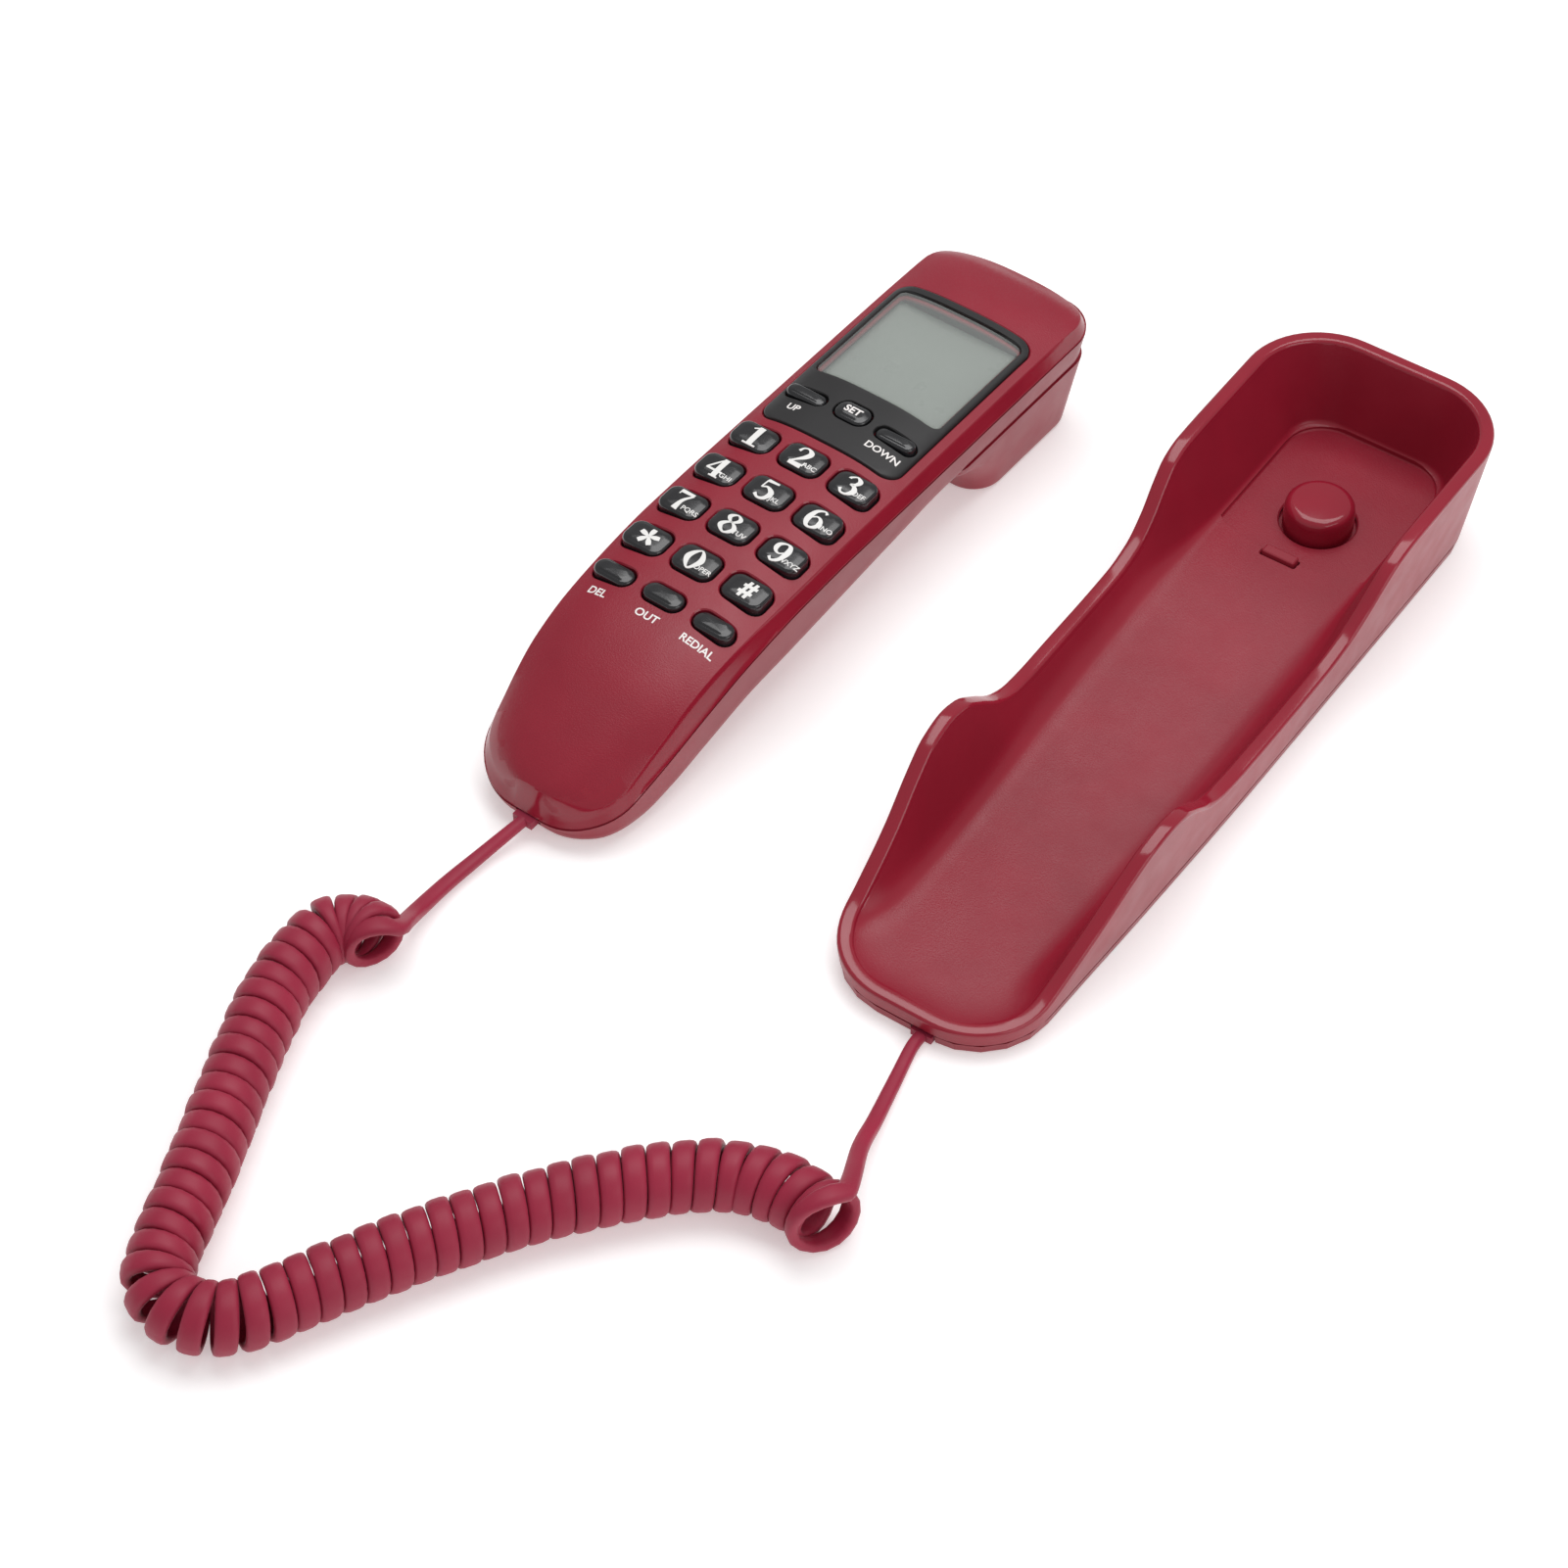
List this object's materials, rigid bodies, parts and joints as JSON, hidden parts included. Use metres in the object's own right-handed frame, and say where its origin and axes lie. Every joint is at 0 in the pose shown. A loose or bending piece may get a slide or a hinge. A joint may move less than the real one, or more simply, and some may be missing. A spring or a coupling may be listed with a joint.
{
  "type": "corded telephone",
  "caption": "Slim corded telephone: trough-shaped cradle with a hook plunger, keypad handset with a display, and a curly cord.",
  "frame": {"origin": "centre of the cradle's flat back face, which lies on the table or hangs against the wall", "axes": "+Z away from the back face, +Y along the cradle towards the earpiece pocket, +X away from the handset"},
  "size_m": [0.1523, 0.3665, 0.0373],
  "materials": {
    "shell": "satin moulded, polished edges",
    "keys": "gloss",
    "panel": "satin",
    "lens": "clear",
    "display": "grey liquid crystal",
    "cord": "soft sleeve",
    "steel": "plated",
    "brass": "plain",
    "board": "solder mask",
    "mat": "matte",
    "fittings": "moulded"
  },
  "bodies": {
    "cradle": {"cradle_tub": "shell", "cradle_back_plate": "shell", "hook_spring": "steel", "hook_switch": "fittings", "cradle_board": "board", "ringer_disc": "brass", "line_socket": "fittings", "cradle_grommet": "cord", "cradle_screw_1": "steel", "cradle_screw_2": "steel", "cradle_screw_3": "steel", "cradle_screw_4": "steel", "cord_curl_start": "cord", "cord_curl_handset": "cord", "cord_curl_bend": "cord", "cord_curl_cradle": "cord", "cord_lead_handset": "cord", "cord_lead_cradle": "cord"},
    "plunger": {"hook_plunger": "shell"},
    "tab": {"retaining_tab": "shell"},
    "handset": {"handset_face_shell": "shell", "handset_back_shell": "shell", "display_panel": "panel", "display_lens": "lens", "display_glass": "display", "keypad_mat": "mat", "handset_board": "board", "earpiece_capsule": "fittings", "microphone_capsule": "fittings", "handset_grommet": "cord", "handset_screw_1": "steel", "handset_screw_2": "steel"},
    "digit_1": {"key_1": "keys"},
    "digit_2": {"key_2": "keys"},
    "digit_3": {"key_3": "keys"},
    "digit_4": {"key_4": "keys"},
    "digit_5": {"key_5": "keys"},
    "digit_6": {"key_6": "keys"},
    "digit_7": {"key_7": "keys"},
    "digit_8": {"key_8": "keys"},
    "digit_9": {"key_9": "keys"},
    "digit_star": {"key_star": "keys"},
    "digit_0": {"key_0": "keys"},
    "digit_hash": {"key_hash": "keys"},
    "button_del": {"key_del": "keys"},
    "button_out": {"key_out": "keys"},
    "button_redial": {"key_redial": "keys"},
    "button_up": {"key_up": "keys"},
    "button_set": {"key_set": "keys"},
    "button_down": {"key_down": "keys"}
  },
  "joints": [
    {"name": "hook_press", "type": "slide", "parent": "cradle", "child": "plunger", "axis": [0, 0, -1], "range_m": [0, 0.0038], "stiffness_N_per_m": 120, "springref_m": -0.003, "deforming": ["hook_spring"]},
    {"name": "tab_pull", "type": "slide", "parent": "cradle", "child": "tab", "axis": [0, 0, 1], "range_m": [0, 0.006]},
    {"name": "handset_lift", "type": "slide", "parent": "cradle", "child": "handset", "axis": [0, 0, 1], "range_m": [0, 0.06]},
    {"name": "press_1", "type": "slide", "parent": "handset", "child": "digit_1", "axis": [0, 0, -1], "range_m": [0, 0.0012], "stiffness_N_per_m": 300, "springref_m": -0.0008},
    {"name": "press_2", "type": "slide", "parent": "handset", "child": "digit_2", "axis": [0, 0, -1], "range_m": [0, 0.0012], "stiffness_N_per_m": 300, "springref_m": -0.0008},
    {"name": "press_3", "type": "slide", "parent": "handset", "child": "digit_3", "axis": [0, 0, -1], "range_m": [0, 0.0012], "stiffness_N_per_m": 300, "springref_m": -0.0008},
    {"name": "press_4", "type": "slide", "parent": "handset", "child": "digit_4", "axis": [0, 0, -1], "range_m": [0, 0.0012], "stiffness_N_per_m": 300, "springref_m": -0.0008},
    {"name": "press_5", "type": "slide", "parent": "handset", "child": "digit_5", "axis": [0, 0, -1], "range_m": [0, 0.0012], "stiffness_N_per_m": 300, "springref_m": -0.0008},
    {"name": "press_6", "type": "slide", "parent": "handset", "child": "digit_6", "axis": [0, 0, -1], "range_m": [0, 0.0012], "stiffness_N_per_m": 300, "springref_m": -0.0008},
    {"name": "press_7", "type": "slide", "parent": "handset", "child": "digit_7", "axis": [0, 0, -1], "range_m": [0, 0.0012], "stiffness_N_per_m": 300, "springref_m": -0.0008},
    {"name": "press_8", "type": "slide", "parent": "handset", "child": "digit_8", "axis": [0, 0, -1], "range_m": [0, 0.0012], "stiffness_N_per_m": 300, "springref_m": -0.0008},
    {"name": "press_9", "type": "slide", "parent": "handset", "child": "digit_9", "axis": [0, 0, -1], "range_m": [0, 0.0012], "stiffness_N_per_m": 300, "springref_m": -0.0008},
    {"name": "press_star", "type": "slide", "parent": "handset", "child": "digit_star", "axis": [0, 0, -1], "range_m": [0, 0.0012], "stiffness_N_per_m": 300, "springref_m": -0.0008},
    {"name": "press_0", "type": "slide", "parent": "handset", "child": "digit_0", "axis": [0, 0, -1], "range_m": [0, 0.0012], "stiffness_N_per_m": 300, "springref_m": -0.0008},
    {"name": "press_hash", "type": "slide", "parent": "handset", "child": "digit_hash", "axis": [0, 0, -1], "range_m": [0, 0.0012], "stiffness_N_per_m": 300, "springref_m": -0.0008},
    {"name": "press_del", "type": "slide", "parent": "handset", "child": "button_del", "axis": [0, 0, -1], "range_m": [0, 0.0012], "stiffness_N_per_m": 300, "springref_m": -0.0008},
    {"name": "press_out", "type": "slide", "parent": "handset", "child": "button_out", "axis": [0, 0, -1], "range_m": [0, 0.0012], "stiffness_N_per_m": 300, "springref_m": -0.0008},
    {"name": "press_redial", "type": "slide", "parent": "handset", "child": "button_redial", "axis": [0, 0, -1], "range_m": [0, 0.0012], "stiffness_N_per_m": 300, "springref_m": -0.0008},
    {"name": "press_up", "type": "slide", "parent": "handset", "child": "button_up", "axis": [0, 0, -1], "range_m": [0, 0.0012], "stiffness_N_per_m": 300, "springref_m": -0.0008},
    {"name": "press_set", "type": "slide", "parent": "handset", "child": "button_set", "axis": [0, 0, -1], "range_m": [0, 0.0012], "stiffness_N_per_m": 300, "springref_m": -0.0008},
    {"name": "press_down", "type": "slide", "parent": "handset", "child": "button_down", "axis": [0, 0, -1], "range_m": [0, 0.0012], "stiffness_N_per_m": 300, "springref_m": -0.0008}
  ]
}
